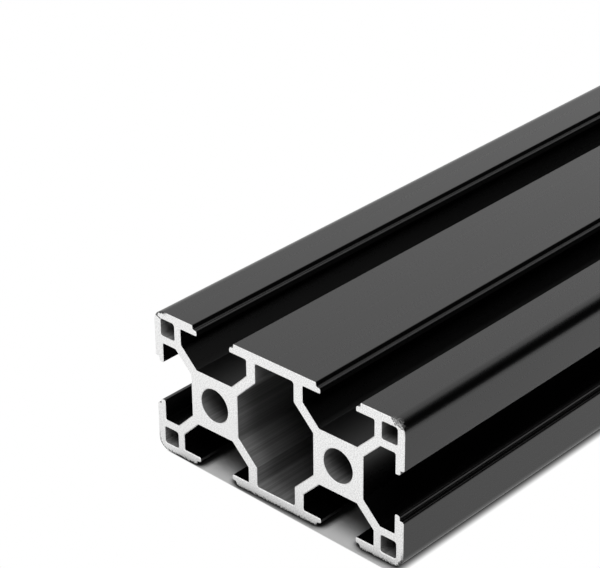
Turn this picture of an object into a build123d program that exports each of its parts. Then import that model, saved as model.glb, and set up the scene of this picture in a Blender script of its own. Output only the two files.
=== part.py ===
from build123d import *

import os
from math import sqrt

# A sawn length of aluminium T-slot profile, two modules wide and one high, lying on a wide side.
# X runs across the section, Y along the bar and Z up. The origin is on the floor under the bar's middle.

# Overall sizes, in millimetres
module = 30.0  # the section's height, half its width, and the distance between the bores
bar_length = 500.0  # between the two sawn ends
long_edge_radius = 2.5  # the four outer long edges

# Flanges: the lips of the T-slots, and the plates above and below the middle hollow
flange_thickness = 2.0
slot_mouth = 8.2  # between the noses of two facing lips
rebate_width = 1.0  # a step along the outer edge of each lip
rebate_depth = 0.9
nose_radius = 0.3
slot_corner_radius = 0.3  # inside corners of the T-slots

# Corner tubes: a square hollow in each corner, with the same wall all round
corner_hollow = 3.55
corner_wall = 1.6
corner_hollow_radius = 0.5

# Cores: a square round each bore, carried by diagonal webs that point at the bore
core_width = 11.6  # across the flats, which are the floors of the T-slots
bore_diameter = 6.8
web_thickness = 2.0

# Middle hollow: the eight-sided space between the two cores
middle_wall = 2.1  # between it and the T-slots above and below
middle_corner_radius = 0.5

# What follows from these sizes
half_module = module / 2
half_core = core_width / 2
half_mouth = slot_mouth / 2
corner_tube = corner_hollow + 2 * corner_wall
half_slot = half_module - corner_tube
half_middle = corner_tube - middle_wall
under_flange = half_module - flange_thickness
rebate_floor = half_module - rebate_depth
web_reach = web_thickness / sqrt(2)  # from a web's middle line to its side, measured along X or Z


def mirrored_face(right_half):
    """A face with an upright axis of symmetry, from (x, y, radius) at each corner of its right half."""
    left_half = [(-x, y, radius) for x, y, radius in reversed(right_half)]
    corners = right_half + left_half
    points = [(x, y) for x, y, _ in corners]
    radii = [radius for _, _, radius in corners]
    return make_face(FilletPolyline(*points, radius=radii, close=True))


def t_slot():
    """The space of a T-slot, opening upwards, about its core's bore. It runs a flange past the outer face."""
    half_ledge = half_mouth + rebate_width
    return mirrored_face(
        [
            (half_ledge, half_module + flange_thickness, 0),
            (half_ledge, rebate_floor, 0),
            (half_mouth, rebate_floor, nose_radius),
            (half_mouth, under_flange, nose_radius),
            (half_slot, under_flange, slot_corner_radius),
            (half_slot, half_slot + web_reach, slot_corner_radius),
            (half_core - web_reach, half_core, slot_corner_radius),
        ]
    )


def middle_hollow():
    """The hollow between the cores: upright walls at the flanges, webs at 45 degrees and flats at the cores."""
    upper = [
        (half_middle, under_flange, middle_corner_radius),
        (half_middle, half_module - web_reach - half_middle, middle_corner_radius),
        (half_module - half_core, half_core - web_reach, middle_corner_radius),
    ]
    lower = [(x, -y, radius) for x, y, radius in reversed(upper)]
    return mirrored_face(upper + lower)


def corner_hollows():
    """The four square hollows in the corners of the section."""
    inset = corner_wall + corner_hollow / 2
    places = GridLocations(2 * (module - inset), 2 * (half_module - inset), 2, 2)
    return places * RectangleRounded(corner_hollow, corner_hollow, corner_hollow_radius)


def profile_section():
    """The cut face of the bar, centred on the middle of the section."""
    section = RectangleRounded(2 * module, module, long_edge_radius)
    for side in (-1, 1):
        core = Pos(side * half_module, 0)
        for turn in (0, 180, -90 * side):
            section -= core * Rot(0, 0, turn) * t_slot()
        section -= core * Circle(bore_diameter / 2)
    section -= corner_hollows()
    return section - middle_hollow()


section_plane = Plane(origin=(0, 0, half_module), x_dir=(1, 0, 0), z_dir=(0, -1, 0))
profile_bar = extrude(section_plane * profile_section(), bar_length / 2, both=True)

os.makedirs("parts", exist_ok=True)
export_step(profile_bar, "parts/profile_bar.step")
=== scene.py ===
import math

import bmesh
import bpy
from mathutils import Matrix, Vector


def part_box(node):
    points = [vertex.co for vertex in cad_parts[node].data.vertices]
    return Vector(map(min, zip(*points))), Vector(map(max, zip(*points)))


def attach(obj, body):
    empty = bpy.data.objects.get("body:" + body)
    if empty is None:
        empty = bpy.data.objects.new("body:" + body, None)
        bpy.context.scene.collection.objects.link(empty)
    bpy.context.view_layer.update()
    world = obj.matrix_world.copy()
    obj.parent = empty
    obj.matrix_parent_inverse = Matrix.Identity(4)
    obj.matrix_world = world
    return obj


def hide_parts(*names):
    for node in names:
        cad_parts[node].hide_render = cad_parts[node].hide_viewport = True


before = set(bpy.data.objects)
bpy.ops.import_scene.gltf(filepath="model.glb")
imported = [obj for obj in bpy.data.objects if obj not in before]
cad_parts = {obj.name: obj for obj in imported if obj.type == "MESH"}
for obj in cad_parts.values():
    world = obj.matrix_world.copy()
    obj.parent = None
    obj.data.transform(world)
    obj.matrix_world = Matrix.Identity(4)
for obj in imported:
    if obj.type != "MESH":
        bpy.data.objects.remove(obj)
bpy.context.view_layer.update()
_, bar_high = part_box("profile_bar")

# The bar. All lengths in this script are in metres, unless a name says otherwise
HALF_LENGTH = bar_high.y
HALF_WIDTH = bar_high.x
HEIGHT = bar_high.z
LONG_EDGE_RADIUS = 0.0025
DEBURR = 0.00015  # chamfer round the sawn ends
MERGE_DISTANCE = 1e-6
PLACES = 9  # decimals that a coordinate is rounded to
SHARP_ANGLE = math.radians(30)  # an outline or a surface that turns more than this at once has a corner
FACING_FRONT = -0.9  # the front end's faces have normals whose Y is below this
SKIN, HOLLOW, SAWN = range(3)  # the bar's finishes

# Rounds on a lip's outer edge, inside its rebate, and on its nose towards the rebate and the slot
WIDE_FACE_ROUNDS = (0.0002, 0.00042, 0.00045, 0.0003)
SIDE_ROUNDS = (0.00045, 0.0001, 0.00045, 0.0003)
ROUND_STEPS = 6
NOSE_DEPTH = 0.0015  # between a nose's two rounds, measured from the outer face
NOSE_ARC = 0.0006  # longer than the solid's own round at a nose, and shorter than its other rounds
NOSE_STEP = 0.0001  # longer than the steps of that round
NOSE_POINTS = 3  # the fewest points of that round

# The bake's map: the two sawn ends side by side along its lower edge, and the walls above them
MAP_EDGE = 0.01
END_MAP_WIDTH = 0.48
END_MAP_SPACING = 0.5
END_MAP_SCALE = END_MAP_WIDTH / (2 * HALF_WIDTH)
WALL_MAP_FLOOR = 2 * MAP_EDGE + END_MAP_SCALE * HEIGHT
WALL_MAP_CEILING = 1 - MAP_EDGE
WALL_MAP_GAP = 0.004  # between the walls of two outlines, in metres of outline

# Die lines and grain
DIE_LINE_SPACING = 0.0012
DIE_LINE_STRETCH = 0.004  # how fast a die line changes along the bar, against across it
DIE_LINE_DETAIL = 3.0
DIE_LINE_ROUGHNESS = 0.6
GRAIN_SIZE = 0.00025
GRAIN_DETAIL = 2.0
GRAIN_MIDDLE = 0.5

# Black film, outside and in the slots. A pair of colours is for the dark and the light of a pattern
FILM_COLOURS = ((0.0008, 0.0008, 0.0008, 1), (0.0024, 0.0024, 0.0025, 1))
FILM_IOR = 1.52
FILM_ROUGHNESS = (0.18, 0.29)
FILM_RELIEF = 0.000004
SLOT_FLOOR_HEIGHT = 0.0058  # of the slots' floors above and below the bores' axes
SLOT_FLOOR_EDGE = (0.0056, 0.0046)  # the distances across from the axes between which a floor begins
SLOT_FLOOR_REACH = (0.0008, 0.0002)  # the distances up or down from it between which it begins
SLOT_FLOOR_DULL = 0.2

# Thin film in the hollows
HOLLOW_METALLIC = 0.2
HOLLOW_LINE_SPACING = 0.0003
HOLLOW_BAND_SPACING = 0.002
HOLLOW_STREAKS = (0.75, 1.25)  # the sums of lines and bands between which a streak turns light
HOLLOW_TONE = (0.15, 0.255)
HOLLOW_ROUGHNESS = (0.3, 0.45)
HOLLOW_RELIEF = 0.000008
LEFT_HOLLOW_PAINTED_LIGHT = (0.008 - HALF_WIDTH, 0.006 - HALF_WIDTH)  # the places across between which the left hollows' walls turn lighter: painted light, as light that falls in from the right
LEFT_HOLLOW_PAINTED_LIGHT_TONE = (1.0, 1.4)
CUT_PAINTED_LIGHT = (0.006, 0)  # the depths from the cut between which painted light begins and is full, as light falling in at the open end
CUT_PAINTED_LIGHT_TONE = (0.72, 1.32)

# Bare metal of the sawn ends
SAWN_COLOURS = ((0.79, 0.79, 0.79, 1), (1, 1, 0.995, 1))
SAWN_METALLIC = 1.0
SAWN_SPECKS = (0.4, 0.6)  # the grain between which a speck turns light
SAWN_ROUGHNESS = (0.32, 0.5)
SAWN_RELIEF = 0.000012
SAW_ARC_CENTRE = (0.11, 0.0, 0.19)
SAW_ARC_SPACING = 0.0007
SAW_ARC_WANDER = 2.0
SAW_ARC_DETAIL = 2.0
SAW_ARC_SHARE = 0.35  # of the arcs in the relief, against the grain
RING_RATE = 20  # the spacing of a Wave texture's rings is a full turn over this times its scale

# Corners of the cut that have been rubbed, each with a centre and a reach
RUB_SPOTS = (
    ((HALF_WIDTH - 0.001, -HALF_LENGTH, HEIGHT + 0.0004), (0.0021, 0.0011, 0.0019)),
    ((HALF_WIDTH - 0.0004, -HALF_LENGTH, 0.0009), (0.0007, 0.0006, 0.0011)),
)
RUB_EDGE = (1.0, 0.8)  # the shares of the reach between which a rub begins
RUB_GRAIN = 0.0003
FILM_RUB_SPECKLE = 2.5  # how far the grain breaks up the edge of a rub
FILM_RUB_COLOURS = ((0.03, 0.03, 0.03, 1), (0.24, 0.24, 0.24, 1))
FILM_RUB_SPECKS = (0.35, 0.65)
FILM_RUB_DULL = 0.3
SAWN_RUB_SPECKLE = 1.8
SAWN_RUB_COLOURS = ((0.12, 0.12, 0.12, 1), (0.45, 0.45, 0.45, 1))

# Burrs in one upper corner of the sawn face, and a ragged dark band along its lower edge: burrs there too,
# and painted contact shade where the face meets the floor
BURR_AND_SHADE_COLOUR = (0.06, 0.06, 0.06, 1)
BURR_AND_SHADE_GRAIN = 0.0004
BURR_AND_SHADE_SIZE = 0.0014
BURR_AND_SHADE_DEPTH = (0.0012, 0.0009)  # the depths from the outline, with the grain's own, between which they begin
LOWER_BURR_AND_SHADE_TOP = (0.0045, 0.001)  # the heights between which the lower edge's burrs and painted contact shade begin
BURR_CORNER = (0.0015 - HALF_WIDTH, -HALF_LENGTH, HEIGHT - 0.0003)
BURR_CORNER_REACH = (0.0022, 0.001, 0.0012)
BURR_CORNER_EDGE = (1.0, 0.5)  # the shares of that reach between which they begin

# The seam line in one top corner of the sawn face
SEAM_COLOUR = (0.03, 0.03, 0.03, 1)
SEAM_CENTRE = (0.00097 - HALF_WIDTH, -HALF_LENGTH, HEIGHT - 0.00126)
SEAM_TILT = math.radians(24)
SEAM_END = (0.0009, 0.00075)  # the distances along it from its centre between which it begins
SEAM_SIDE = (0.00016, 0.00008)  # and to its side

# Picture and camera. The fitted focal length is in pixels of the picture's width
PICTURE_WIDTH = 600
FOCAL_PIXELS = 2207.8
SENSOR_WIDTH_MM = 36.0
CAMERA_AZIMUTH = math.radians(42.658)
CAMERA_ELEVATION = math.radians(28.519)
CAMERA_ROLL = math.radians(-0.599)
CAMERA_DISTANCE = 0.37352
CAMERA_TARGET = Vector((0.00657, -HALF_LENGTH, HEIGHT / 2 + 0.03312))
CAMERA_NEAREST = 0.01

# Floor and its shadow. A pair is for where the white beyond the shadow begins and is full
FLOOR_SIZE = 8.0
FLOOR_COLOUR = (0.92, 0.92, 0.92, 1)
FLOOR_ROUGHNESS = 0.9
# painted contact shade: the colour the floor is painted where the bar leaves it little open sky
PAINTED_CONTACT_SHADE = (0.02, 0.02, 0.02, 1)
CONTACT_REACH = 0.002  # how far from the bar the floor's colour is painted darker, as shade under it
CONTACT_LIGHT = (0.45, 1.0)  # the shares of open sky between which the painted shade turns to the floor's own colour
SHADOW_CENTRE = 0.0012  # the shadow lies a little to the right of the bar
SIDE_SHADOW = (-0.003, -0.0007)  # past the bar's sides, as the camera sees it
SIDE_SHADOW_POWER = 2.0
END_SHADOW = (0.00074, 0.00104)  # past its ends
END_SHADOW_SLANT = 0.031  # how much further that is, for each metre to the right
MIRRORED_SIDE_SHADOW = (-0.0036, 0.0364)  # past its sides, as its own surfaces mirror it
MIRRORED_SIDE_POWER = 0.1
MIRRORED_SIDE_WHITE = 0.88
MIRRORED_END_SHADOW = (-0.0005, 0.0195)
MIRRORED_END_POWER = 0.22
MIRRORED_END_CONTACT = (0, 0.0022)
MIRRORED_END_DARK = 0.3

# Room and lamp
WHITE = (1, 1, 1, 1)
BLACK = (0, 0, 0, 1)
WHITE_LIGHT = 1.0
ROOM_LIGHT = 0.08
FIRST_BOUNCE = 0.5  # a ray with a diffuse depth below this has met no dull surface
GREY_WALL_WAY = (0.62, 0.65, 0.44)  # towards the grey wall at the far right
GREY_WALL_EDGE = (0.74, 0.92)  # the cosines of the angles from there at which the grey begins and is full
GREY_WALL_FADE = (0.59, 0.67)  # and of those from the bar's length at which it fades to black
GREY_WALL_LIGHT = 0.3
CARD_PLACE = HALF_WIDTH + 0.06
CARD_ALONG = (-0.3, 1.2)
CARD_UP = (0.0175, 0.14)
SOFTBOX_PLACE = Vector((0.5, -0.65, 1.3))
SOFTBOX_TARGET = Vector((0, -HALF_LENGTH, 0))
SOFTBOX_SIZE = 0.8
SOFTBOX_POWER = 11.0

# The Mix node's sockets for colours, which share their names with its other sockets
MIX_FACTOR, MIX_FIRST, MIX_SECOND, MIX_RESULT = 0, 6, 7, 2


def add(tree, kind, inputs=None, **settings):
    """A node with its settings, and each input set to a value or linked to another node's output."""
    node = tree.nodes.new(kind)
    for name, value in settings.items():
        setattr(node, name, value)
    for name, value in (inputs or {}).items():
        if isinstance(value, bpy.types.NodeSocket):
            tree.links.new(value, node.inputs[name])
        else:
            node.inputs[name].default_value = value
    return node


def calc(tree, operation, *values):
    """The value of a sum, product or other operation."""
    return add(tree, "ShaderNodeMath", dict(enumerate(values)), operation=operation).outputs[0]


def vector_calc(tree, operation, *vectors):
    """The vector that an operation on vectors gives."""
    node = add(tree, "ShaderNodeVectorMath", dict(enumerate(vectors)), operation=operation)
    return node.outputs["Vector"]


def length(tree, vector):
    """How long a vector is."""
    return add(tree, "ShaderNodeVectorMath", {0: vector}, operation="LENGTH").outputs["Value"]


def apart(tree, value, place):
    """How far a value is from a place."""
    return calc(tree, "ABSOLUTE", calc(tree, "SUBTRACT", value, place))


def spread(tree, value, low, high):
    """A mask from 0 to 1, as a value from low to high."""
    return add(tree, "ShaderNodeMapRange", {"Value": value, "To Min": low, "To Max": high}).outputs[0]


def ramp(tree, value, none, full):
    """A soft mask: 0 where the value is none, 1 where it is full."""
    inputs = {"Value": value, "From Min": none, "From Max": full}
    return add(tree, "ShaderNodeMapRange", inputs, interpolation_type="SMOOTHSTEP").outputs[0]


def curve(tree, value, none, full, power):
    """A mask that rises by a power from 0 where the value is none to 1 where it is full."""
    straight = add(tree, "ShaderNodeMapRange", {"Value": value, "From Min": none, "From Max": full})
    return calc(tree, "POWER", straight.outputs[0], power)


def blend(tree, mask, first, second):
    """A colour between two, by a mask."""
    inputs = {MIX_FACTOR: mask, MIX_FIRST: first, MIX_SECOND: second}
    return add(tree, "ShaderNodeMix", inputs, data_type="RGBA").outputs[MIX_RESULT]


def object_place(tree):
    """Coordinates of the object itself."""
    return add(tree, "ShaderNodeTexCoord").outputs["Object"]


def place_from(tree, location, **inputs):
    """Object coordinates counted from a location, with a turn or a scale where one is given."""
    inputs |= {"Vector": object_place(tree), "Location": location}
    return add(tree, "ShaderNodeMapping", inputs, vector_type="TEXTURE").outputs[0]


def split(tree, place):
    """The three coordinates of a place."""
    return add(tree, "ShaderNodeSeparateXYZ", {0: place}).outputs


def texture_group(name, inputs, output):
    """An empty shader node group with float inputs and one float output, and its two end nodes."""
    group = bpy.data.node_groups.new(name, "ShaderNodeTree")
    for label, value in inputs.items():
        socket = group.interface.new_socket(label, in_out="INPUT", socket_type="NodeSocketFloat")
        socket.default_value = value
    group.interface.new_socket(output, in_out="OUTPUT", socket_type="NodeSocketFloat")
    return group, group.nodes.new("NodeGroupInput"), group.nodes.new("NodeGroupOutput")


def place_group(tree, group, **inputs):
    """The output of a node group, placed with its own values."""
    return add(tree, "ShaderNodeGroup", inputs, node_tree=group).outputs[0]


def die_lines_group():
    """Fine lines along the bar, as the die leaves them."""
    group, given, result = texture_group("die_lines", {"Spacing": DIE_LINE_SPACING}, "Lines")
    inputs = {"Vector": object_place(group), "Scale": (1, DIE_LINE_STRETCH, 1)}
    stretched = add(group, "ShaderNodeMapping", inputs)
    inputs = {
        "Vector": stretched.outputs[0],
        "Scale": calc(group, "DIVIDE", 1.0, given.outputs["Spacing"]),
        "Detail": DIE_LINE_DETAIL,
        "Roughness": DIE_LINE_ROUGHNESS,
    }
    noise = add(group, "ShaderNodeTexNoise", inputs)
    group.links.new(noise.outputs[0], result.inputs["Lines"])
    return group


def grain_group():
    """An even fine grain, as etching and sawing leave it."""
    group, given, result = texture_group("metal_grain", {"Size": GRAIN_SIZE}, "Grain")
    inputs = {
        "Vector": object_place(group),
        "Scale": calc(group, "DIVIDE", 1.0, given.outputs["Size"]),
        "Detail": GRAIN_DETAIL,
    }
    noise = add(group, "ShaderNodeTexNoise", inputs)
    group.links.new(noise.outputs[0], result.inputs["Grain"])
    return group


def rubbed_corners_group(grain):
    """A speckled mask round the corners of the cut that have been rubbed."""
    group, given, result = texture_group("rubbed_corners", {"Speckle": 1.0}, "Rubbed")
    specks = calc(group, "SUBTRACT", place_group(group, grain, Size=RUB_GRAIN), GRAIN_MIDDLE)
    specks = calc(group, "MULTIPLY", specks, given.outputs["Speckle"])
    rubbed = 0.0
    for centre, reach in RUB_SPOTS:
        away = length(group, place_from(group, centre, Scale=reach))
        broken = calc(group, "ADD", away, specks)
        rubbed = calc(group, "MAXIMUM", ramp(group, broken, *RUB_EDGE), rubbed)
    group.links.new(rubbed, result.inputs["Rubbed"])
    return group


def new_material(name):
    """A material with nodes, its tree and its Principled shader."""
    material = bpy.data.materials.new(name)
    material.use_nodes = True
    return material, material.node_tree, material.node_tree.nodes["Principled BSDF"]


def link_bump(tree, shader, height, distance):
    """Relief of a height from 0 to 1 times a distance in metres."""
    bump = add(tree, "ShaderNodeBump", {"Height": height, "Distance": distance})
    tree.links.new(bump.outputs[0], shader.inputs["Normal"])


def slot_floors(tree):
    """A mask for the floors of the T-slots in the bar's top and underside."""
    x, _, z = split(tree, object_place(tree))
    across = apart(tree, calc(tree, "ABSOLUTE", x), HALF_WIDTH / 2)
    up = apart(tree, apart(tree, z, HEIGHT / 2), SLOT_FLOOR_HEIGHT)
    return calc(tree, "MULTIPLY", ramp(tree, across, *SLOT_FLOOR_EDGE), ramp(tree, up, *SLOT_FLOOR_REACH))


def black_anodised(die_lines, grain, rubbed_corners):
    """Satin black film with faint die lines, duller on the slots' floors and rubbed grey at corners."""
    material, tree, shader = new_material("black_anodised")
    shader.inputs["IOR"].default_value = FILM_IOR
    lines = place_group(tree, die_lines, Spacing=DIE_LINE_SPACING)
    specks = place_group(tree, grain, Size=GRAIN_SIZE)
    rubbed = place_group(tree, rubbed_corners, Speckle=FILM_RUB_SPECKLE)
    film = blend(tree, lines, *FILM_COLOURS)
    worn = blend(tree, ramp(tree, specks, *FILM_RUB_SPECKS), *FILM_RUB_COLOURS)
    tree.links.new(blend(tree, rubbed, film, worn), shader.inputs["Base Color"])
    uneven = calc(tree, "ADD", lines, specks)
    satin = spread(tree, uneven, *FILM_ROUGHNESS)
    dull = calc(tree, "MULTIPLY_ADD", slot_floors(tree), SLOT_FLOOR_DULL, satin)
    dull = calc(tree, "MULTIPLY_ADD", rubbed, FILM_RUB_DULL, dull)
    tree.links.new(dull, shader.inputs["Roughness"])
    link_bump(tree, shader, uneven, FILM_RELIEF)
    return material


def hollow_wall(die_lines, grain):
    """Thin grey film inside the hollows, with strong die lines, painted lighter in the left hollows and
    near the cut, where light falls in.
    """
    material, tree, shader = new_material("hollow_wall")
    shader.inputs["Metallic"].default_value = HOLLOW_METALLIC
    lines = place_group(tree, die_lines, Spacing=HOLLOW_LINE_SPACING)
    bands = place_group(tree, die_lines, Spacing=HOLLOW_BAND_SPACING)
    specks = place_group(tree, grain, Size=GRAIN_SIZE)
    streaks = ramp(tree, calc(tree, "ADD", lines, bands), *HOLLOW_STREAKS)
    x, y, _ = split(tree, object_place(tree))
    depth = calc(tree, "SUBTRACT", HALF_LENGTH, calc(tree, "ABSOLUTE", y))
    # painted light: the left hollows are lighter, as from the light that falls into them from the right
    painted_side_light = spread(tree, ramp(tree, x, *LEFT_HOLLOW_PAINTED_LIGHT), *LEFT_HOLLOW_PAINTED_LIGHT_TONE)
    # painted light: the walls are lighter near the cut, where light falls in at the open end, and darker
    # deeper in
    painted_cut_light = spread(tree, ramp(tree, depth, *CUT_PAINTED_LIGHT), *CUT_PAINTED_LIGHT_TONE)
    tone = calc(tree, "MULTIPLY", spread(tree, streaks, *HOLLOW_TONE), painted_side_light)
    tree.links.new(calc(tree, "MULTIPLY", tone, painted_cut_light), shader.inputs["Base Color"])
    uneven = calc(tree, "ADD", lines, specks)
    tree.links.new(spread(tree, uneven, *HOLLOW_ROUGHNESS), shader.inputs["Roughness"])
    link_bump(tree, shader, uneven, HOLLOW_RELIEF)
    return material


def saw_arcs(tree):
    """A pattern of the faint arcs that a saw blade leaves."""
    inputs = {
        "Vector": place_from(tree, SAW_ARC_CENTRE),
        "Scale": math.tau / RING_RATE / SAW_ARC_SPACING,
        "Distortion": SAW_ARC_WANDER,
        "Detail": SAW_ARC_DETAIL,
    }
    waves = add(tree, "ShaderNodeTexWave", inputs, wave_type="RINGS", rings_direction="Y")
    return waves.outputs["Fac"]


def seam_line(tree):
    """A mask for a short dark line across a corner of the sawn face."""
    along, _, aside = split(tree, place_from(tree, SEAM_CENTRE, Rotation=(0, SEAM_TILT, 0)))
    short = ramp(tree, calc(tree, "ABSOLUTE", along), *SEAM_END)
    thin = ramp(tree, calc(tree, "ABSOLUTE", aside), *SEAM_SIDE)
    return calc(tree, "MULTIPLY", thin, short)


def outline_depth(tree):
    """How deep a place is inside the bar's outer outline, up to the radius of the long edges."""
    centred = vector_calc(tree, "SUBTRACT", object_place(tree), (0, 0, HEIGHT / 2))
    folded = vector_calc(tree, "ABSOLUTE", centred)
    # the middle of a long edge's round, and a place past the bar's end, so that only the section counts
    inner = (HALF_WIDTH - LONG_EDGE_RADIUS, 2 * HALF_LENGTH, HEIGHT / 2 - LONG_EDGE_RADIUS)
    past = vector_calc(tree, "MAXIMUM", vector_calc(tree, "SUBTRACT", folded, inner), (0, 0, 0))
    return calc(tree, "SUBTRACT", LONG_EDGE_RADIUS, length(tree, past))


def ragged_edge(tree, grain):
    """A mask for the burrs in one upper corner of the sawn face, and for the ragged band along its lower
    edge, which is burrs and painted contact shade.
    """
    _, _, height = split(tree, object_place(tree))
    away = length(tree, place_from(tree, BURR_CORNER, Scale=BURR_CORNER_REACH))
    burred_and_shaded = calc(tree, "MAXIMUM", ramp(tree, height, *LOWER_BURR_AND_SHADE_TOP), ramp(tree, away, *BURR_CORNER_EDGE))
    specks = place_group(tree, grain, Size=BURR_AND_SHADE_GRAIN)
    uneven = calc(tree, "MULTIPLY_ADD", specks, BURR_AND_SHADE_SIZE, outline_depth(tree))
    return calc(tree, "MULTIPLY", ramp(tree, uneven, *BURR_AND_SHADE_DEPTH), burred_and_shaded)


def sawn_aluminium(grain, rubbed_corners):
    """Bare metal with the arcs of a saw blade, a seam line in one corner, rubbed corners, burrs, and
    painted contact shade along the lower edge.
    """
    material, tree, shader = new_material("sawn_aluminium")
    shader.inputs["Metallic"].default_value = SAWN_METALLIC
    specks = place_group(tree, grain, Size=GRAIN_SIZE)
    rubbed = place_group(tree, rubbed_corners, Speckle=SAWN_RUB_SPECKLE)
    speckle = ramp(tree, specks, *SAWN_SPECKS)
    clean = blend(tree, speckle, *SAWN_COLOURS)
    seamed = blend(tree, seam_line(tree), clean, SEAM_COLOUR)
    worn = blend(tree, rubbed, seamed, blend(tree, speckle, *SAWN_RUB_COLOURS))
    # burrs, and along the lower edge painted contact shade where the face meets the floor
    burred_and_shaded = blend(tree, ragged_edge(tree, grain), worn, BURR_AND_SHADE_COLOUR)
    tree.links.new(burred_and_shaded, shader.inputs["Base Color"])
    marks = calc(tree, "MULTIPLY_ADD", saw_arcs(tree), SAW_ARC_SHARE, specks)
    tree.links.new(spread(tree, marks, *SAWN_ROUGHNESS), shader.inputs["Roughness"])
    link_bump(tree, shader, marks, SAWN_RELIEF)
    return material


def sides(outline):
    """Each point of a closed outline with the next one."""
    return zip(outline, outline[1:] + outline[:1])


def around(outline):
    """Each point of a closed outline, with the ways in to it and out of it."""
    for before, (point, after) in zip(outline[-1:] + outline[:-1], sides(outline)):
        yield point, (point - before).normalized(), (after - point).normalized()


def turning(way_in, way_out):
    """The angle between two ways, positive to the left."""
    return math.atan2(way_in.cross(way_out), way_in.dot(way_out))


def crossing(point, way, other_point, other_way):
    """Where two lines cross."""
    return point + way * other_way.cross(point - other_point) / way.cross(other_way)


def traced(rim):
    """The closed outlines that a list of edges makes, as (x, z) points. The list is used up."""
    outlines = []
    while rim:
        start, vert = rim.pop().verts
        outline = [start.co.xz]
        while vert != start:
            outline.append(vert.co.xz)
            edge = next(edge for edge in vert.link_edges if edge in rim)
            rim.remove(edge)
            vert = edge.other_vert(vert)
        outlines.append(outline)
    return outlines


def rim_outlines():
    """The outlines of the solid's front end, with the metal on their left, the outer one first."""
    bm = bmesh.new()
    bm.from_mesh(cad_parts["profile_bar"].data)
    bmesh.ops.remove_doubles(bm, verts=bm.verts, dist=MERGE_DISTANCE)
    front = {face for face in bm.faces if face.normal.y < FACING_FRONT}
    outlines = traced([edge for edge in bm.edges if len(front.intersection(edge.link_faces)) == 1])
    bm.free()
    outlines.sort(key=lambda outline: -max(point.x for point in outline))
    for outline in outlines:
        runs_left = sum(point.cross(after) for point, after in sides(outline)) > 0
        if runs_left != (outline is outlines[0]):
            outline.reverse()
    return outlines


def unbent(bend):
    """The corner that a short round stands for, or the points of a longer one."""
    points = [point for point, _, _ in bend]
    arc = sum((after - point).length for point, after in zip(points, points[1:]))
    if len(bend) < NOSE_POINTS or arc > NOSE_ARC:
        return points
    (first, way_in, _), (last, _, way_out) = bend[0], bend[-1]
    return [crossing(first, way_in, last, way_out)]


def with_sharp_noses(outline):
    """The outline with the small rounds at the lips' noses drawn out to corners."""
    lengths = [(after - point).length for point, after in sides(outline)]
    start = lengths.index(max(lengths)) + 1
    sharp, bend = [], []
    for point, way_in, way_out in around(outline[start:] + outline[:start]):
        if bend and (point - bend[-1][0]).length > NOSE_STEP:
            sharp += unbent(bend)
            bend = []
        if 0 < turning(way_in, way_out) < SHARP_ANGLE:
            bend.append((point, way_in, way_out))
        else:
            sharp += unbent(bend) + [point]
            bend = []
    return sharp + unbent(bend)


def corner_radius(point, turn):
    """The radius of the round that a corner of a lip gets."""
    side_depth = HALF_WIDTH - abs(point.x)
    face_depth = HEIGHT / 2 - abs(point.y - HEIGHT / 2)
    depth = min(side_depth, face_depth)
    edge, rebate, nose, nose_under = SIDE_ROUNDS if side_depth < face_depth else WIDE_FACE_ROUNDS
    if depth < MERGE_DISTANCE:
        return edge
    if turn < 0:
        return rebate
    return nose if depth < NOSE_DEPTH else nose_under


def with_soft_corners(outline):
    """The outline with a small round at each of its corners."""
    soft = []
    for point, way_in, way_out in around(outline):
        turn = turning(way_in, way_out)
        if abs(turn) < SHARP_ANGLE:
            soft.append(point)
            continue
        radius = corner_radius(point, turn)
        step = turn / ROUND_STEPS
        heading = Matrix.Rotation(step / 2, 2) @ way_in * (2 * radius * math.sin(abs(step) / 2))
        soft.append(point - way_in * radius * math.tan(abs(turn) / 2))
        for _ in range(ROUND_STEPS):
            soft.append(soft[-1] + heading)
            heading = Matrix.Rotation(step, 2) @ heading
    return soft


def picked(geometry, kind):
    """The vertices or the faces among what an operator made."""
    return [part for part in geometry if isinstance(part, kind)]


def extruded_wall(bm, outline, finish):
    """The wall of an outline, extruded between the chamfers of the bar's ends. Gives its front rim."""
    start = DEBURR - HALF_LENGTH
    ring = [bm.verts.new((round(point.x, PLACES), start, round(point.y, PLACES))) for point in outline]
    rim = [bm.edges.new(pair) for pair in sides(ring)]
    made = bmesh.ops.extrude_edge_only(bm, edges=rim)["geom"]
    bmesh.ops.translate(bm, verts=picked(made, bmesh.types.BMVert), vec=(0, -2 * start, 0))
    for face in picked(made, bmesh.types.BMFace):
        face.material_index = finish
    return rim


def map_walls(rims, outlines, bake_map):
    """Lays the walls on the bake's map, face by face along their outlines."""
    mapped_length = sum(WALL_MAP_GAP + sum(edge.calc_length() for edge in rim) for rim in rims)
    scale = (1 - 2 * MAP_EDGE) / mapped_length
    across = MAP_EDGE
    for rim, outline in zip(rims, outlines):
        for edge, point in zip(rim, outline):
            for loop in edge.link_faces[0].loops:
                u = across + scale * (loop.vert.co.xz - point).length
                loop[bake_map].uv = (u, WALL_MAP_FLOOR if loop.vert.co.y < 0 else WALL_MAP_CEILING)
            across += scale * edge.calc_length()
        across += scale * WALL_MAP_GAP


def end_place(vert):
    """Where a point of a sawn end lies on the bake's map."""
    across = MAP_EDGE + END_MAP_SCALE * (vert.co.x + HALF_WIDTH)
    if vert.co.y > 0:
        across += END_MAP_SPACING
    return across, MAP_EDGE + END_MAP_SCALE * vert.co.z


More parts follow.
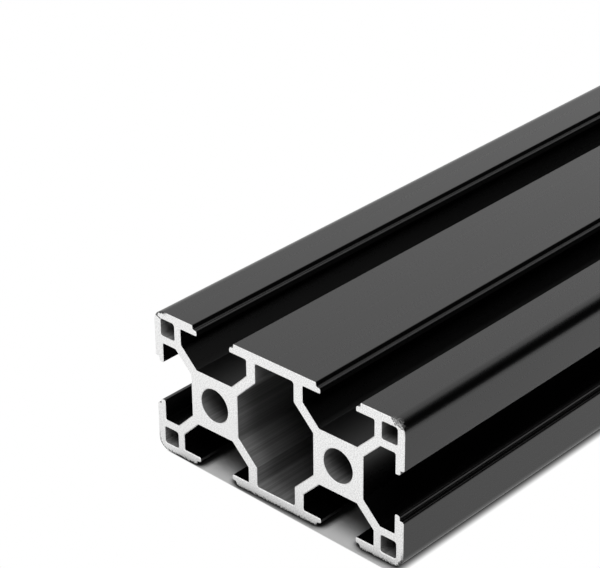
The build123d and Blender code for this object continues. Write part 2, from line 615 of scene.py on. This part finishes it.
def sawn_end(bm, end, bake_map):
    """A sawn end, filled in between the walls' rims and moved out by its chamfer."""
    rims = [edge for edge in bm.edges if edge.is_boundary and edge.verts[0].co.y * end > 0]
    filled = bmesh.ops.triangle_fill(bm, use_beauty=True, edges=rims, normal=(0, end, 0))["geom"]
    cut = picked(filled, bmesh.types.BMFace)
    inset = bmesh.ops.inset_region(bm, faces=cut, thickness=DEBURR, depth=DEBURR, use_even_offset=True)
    for face in cut + inset["faces"]:
        face.material_index = SAWN
        for loop in face.loops:
            loop[bake_map].uv = end_place(loop.vert)


def shade_smooth(bm):
    """Makes all faces smooth, and the edges sharp at which the surface turns a corner."""
    for face in bm.faces:
        face.smooth = True
    for edge in bm.edges:
        edge.smooth = edge.calc_face_angle() < SHARP_ANGLE


def extruded_bar(finishes):
    """The bar, extruded from the solid's outlines, with deburred ends."""
    bm = bmesh.new()
    bake_map = bm.loops.layers.uv.new("OFBake")
    outer, *hollows = rim_outlines()
    outlines = [with_soft_corners(with_sharp_noses(outer))] + hollows
    rims = [extruded_wall(bm, line, SKIN if line is outlines[0] else HOLLOW) for line in outlines]
    map_walls(rims, outlines, bake_map)
    for end in (-1, 1):
        sawn_end(bm, end, bake_map)
    bmesh.ops.recalc_face_normals(bm, faces=bm.faces)
    shade_smooth(bm)
    mesh = bpy.data.meshes.new("extruded_bar")
    bm.to_mesh(mesh)
    bm.free()
    for material in finishes:
        mesh.materials.append(material)
    bar = bpy.data.objects.new("extruded_bar", mesh)
    bpy.context.scene.collection.objects.link(bar)
    bar.modifiers.new("flat_faces", "WEIGHTED_NORMAL").keep_sharp = True
    return bar


def staged(name, corners, material):
    """A flat four-cornered thing that belongs to the studio."""
    mesh = bpy.data.meshes.new(name)
    mesh.from_pydata(corners, [], [(0, 1, 2, 3)])
    mesh.materials.append(material)
    thing = bpy.data.objects.new(name, mesh)
    bpy.context.scene.collection.objects.link(thing)
    return thing


def camera_ray(tree):
    """A mask for what the camera sees straight."""
    return add(tree, "ShaderNodeLightPath").outputs["Is Camera Ray"]


def mirrored_ray(tree):
    """A mask for what the camera sees in a reflection, and not in light that a dull surface scattered."""
    path = add(tree, "ShaderNodeLightPath")
    mirrored = calc(tree, "MAXIMUM", path.outputs["Is Glossy Ray"], path.outputs["Is Transmission Ray"])
    unscattered = calc(tree, "LESS_THAN", path.outputs["Diffuse Depth"], FIRST_BOUNCE)
    return calc(tree, "MULTIPLY", mirrored, unscattered)


def seen_white(tree, across, aside, ahead):
    """A mask for the floor beyond the bar's shadow, as the camera sees it."""
    beside = curve(tree, aside, *SIDE_SHADOW, SIDE_SHADOW_POWER)
    slanted = calc(tree, "MULTIPLY_ADD", across, -END_SHADOW_SLANT, ahead)
    return calc(tree, "MAXIMUM", beside, ramp(tree, slanted, *END_SHADOW))


def mirrored_white(tree, aside, ahead):
    """A mask for the floor beyond the bar's shadow, as the bar's own surfaces mirror it."""
    beside = curve(tree, aside, *MIRRORED_SIDE_SHADOW, MIRRORED_SIDE_POWER)
    beside = calc(tree, "MULTIPLY", beside, MIRRORED_SIDE_WHITE)
    contact_shade = spread(tree, ramp(tree, ahead, *MIRRORED_END_CONTACT), MIRRORED_END_DARK, 1.0)
    before = curve(tree, ahead, *MIRRORED_END_SHADOW, MIRRORED_END_POWER)
    return calc(tree, "MAXIMUM", beside, calc(tree, "MULTIPLY", before, contact_shade))


def pale_floor():
    """A wide pale floor. Its colour is painted darker close to the bar, as contact shade. It keeps the
    shadow close to the bar too, and is seen as plain white beyond that.
    """
    material, tree, shader = new_material("pale_floor")
    shader.inputs["Roughness"].default_value = FLOOR_ROUGHNESS
    contact_shade = add(tree, "ShaderNodeAmbientOcclusion", {"Distance": CONTACT_REACH})
    # painted shade: the floor's colour turns dark where the bar leaves it little open sky
    light = ramp(tree, contact_shade.outputs["AO"], *CONTACT_LIGHT)
    tree.links.new(blend(tree, light, PAINTED_CONTACT_SHADE, FLOOR_COLOUR), shader.inputs["Base Color"])
    across, along, _ = split(tree, object_place(tree))
    aside = calc(tree, "SUBTRACT", apart(tree, across, SHADOW_CENTRE), HALF_WIDTH)
    ahead = calc(tree, "SUBTRACT", calc(tree, "ABSOLUTE", along), HALF_LENGTH)
    white = calc(tree, "MULTIPLY", seen_white(tree, across, aside, ahead), camera_ray(tree))
    white = calc(tree, "MULTIPLY_ADD", mirrored_white(tree, aside, ahead), mirrored_ray(tree), white)
    glow = add(tree, "ShaderNodeEmission", {"Strength": WHITE_LIGHT})
    mix = add(tree, "ShaderNodeMixShader", {0: white, 1: shader.outputs[0], 2: glow.outputs[0]})
    tree.links.new(mix.outputs[0], tree.nodes["Material Output"].inputs["Surface"])
    reach = FLOOR_SIZE / 2
    corners = [(-reach, -reach, 0), (reach, -reach, 0), (reach, reach, 0), (-reach, reach, 0)]
    staged("floor", corners, material)


def dark_card():
    """A dark card beside the bar, seen only in reflections, as dark lines along the round edges."""
    material, _, shader = new_material("dark_card")
    shader.inputs["Base Color"].default_value = BLACK
    shader.inputs["Specular IOR Level"].default_value = 0
    (near, far), (low, high) = CARD_ALONG, CARD_UP
    outline = ((near, low), (far, low), (far, high), (near, high))
    card = staged("dark_card", [(CARD_PLACE, along, up) for along, up in outline], material)
    card.visible_camera = card.visible_diffuse = card.visible_shadow = False


def room_walls(tree):
    """The light of the room's walls by direction: white, with a grey one at the far right."""
    way = add(tree, "ShaderNodeTexCoord").outputs["Generated"]
    facing = add(tree, "ShaderNodeVectorMath", {0: way, 1: GREY_WALL_WAY}, operation="DOT_PRODUCT")
    wall = ramp(tree, facing.outputs["Value"], *GREY_WALL_EDGE)
    _, along, _ = split(tree, way)
    grey = spread(tree, ramp(tree, along, *GREY_WALL_FADE), GREY_WALL_LIGHT, 0)
    return calc(tree, "MULTIPLY_ADD", wall, calc(tree, "SUBTRACT", grey, WHITE_LIGHT), WHITE_LIGHT)


def white_room():
    """A white room with a grey wall. Dull surfaces get only a plain fill light from it."""
    world = bpy.data.worlds.new("white_room")
    world.use_nodes = True
    tree = world.node_tree
    background = tree.nodes["Background"]
    background.inputs["Color"].default_value = WHITE
    mirrored = mirrored_ray(tree)
    dull = calc(tree, "MULTIPLY", calc(tree, "SUBTRACT", 1.0, mirrored), ROOM_LIGHT)
    lit = calc(tree, "MULTIPLY_ADD", mirrored, room_walls(tree), dull)
    tree.links.new(calc(tree, "MAXIMUM", camera_ray(tree), lit), background.inputs["Strength"])
    bpy.context.scene.world = world


def softbox():
    """A large soft lamp, above and to the right of the sawn end."""
    light = bpy.data.lights.new("softbox", "AREA")
    light.energy = SOFTBOX_POWER
    light.size = SOFTBOX_SIZE
    lamp = bpy.data.objects.new("softbox", light)
    lamp.location = SOFTBOX_PLACE
    lamp.rotation_euler = (SOFTBOX_PLACE - SOFTBOX_TARGET).to_track_quat("Z", "Y").to_euler()
    lamp.visible_camera = lamp.visible_glossy = False
    bpy.context.scene.collection.objects.link(lamp)


def camera():
    """The photograph's view."""
    level_back = Vector((math.sin(CAMERA_AZIMUTH), -math.cos(CAMERA_AZIMUTH), 0))
    back = level_back * math.cos(CAMERA_ELEVATION) + Vector((0, 0, math.sin(CAMERA_ELEVATION)))
    right = Vector((math.cos(CAMERA_AZIMUTH), math.sin(CAMERA_AZIMUTH), 0))
    level = Matrix((right, back.cross(right), back)).transposed()
    turned = level @ Matrix.Rotation(CAMERA_ROLL, 3, "Z")
    data = bpy.data.cameras.new("camera")
    data.sensor_width = SENSOR_WIDTH_MM
    data.lens = FOCAL_PIXELS / PICTURE_WIDTH * SENSOR_WIDTH_MM
    data.clip_start = CAMERA_NEAREST
    made = bpy.data.objects.new("camera", data)
    made.matrix_world = Matrix.Translation(CAMERA_TARGET + back * CAMERA_DISTANCE) @ turned.to_4x4()
    bpy.context.scene.collection.objects.link(made)
    bpy.context.scene.camera = made


die_lines = die_lines_group()
grain = grain_group()
rubbed_corners = rubbed_corners_group(grain)
skin = black_anodised(die_lines, grain, rubbed_corners)
bar = extruded_bar((skin, hollow_wall(die_lines, grain), sawn_aluminium(grain, rubbed_corners)))
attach(bar, "root")
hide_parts("profile_bar")

pale_floor()
dark_card()
white_room()
softbox()
camera()
bpy.context.scene.view_settings.view_transform = "Standard"
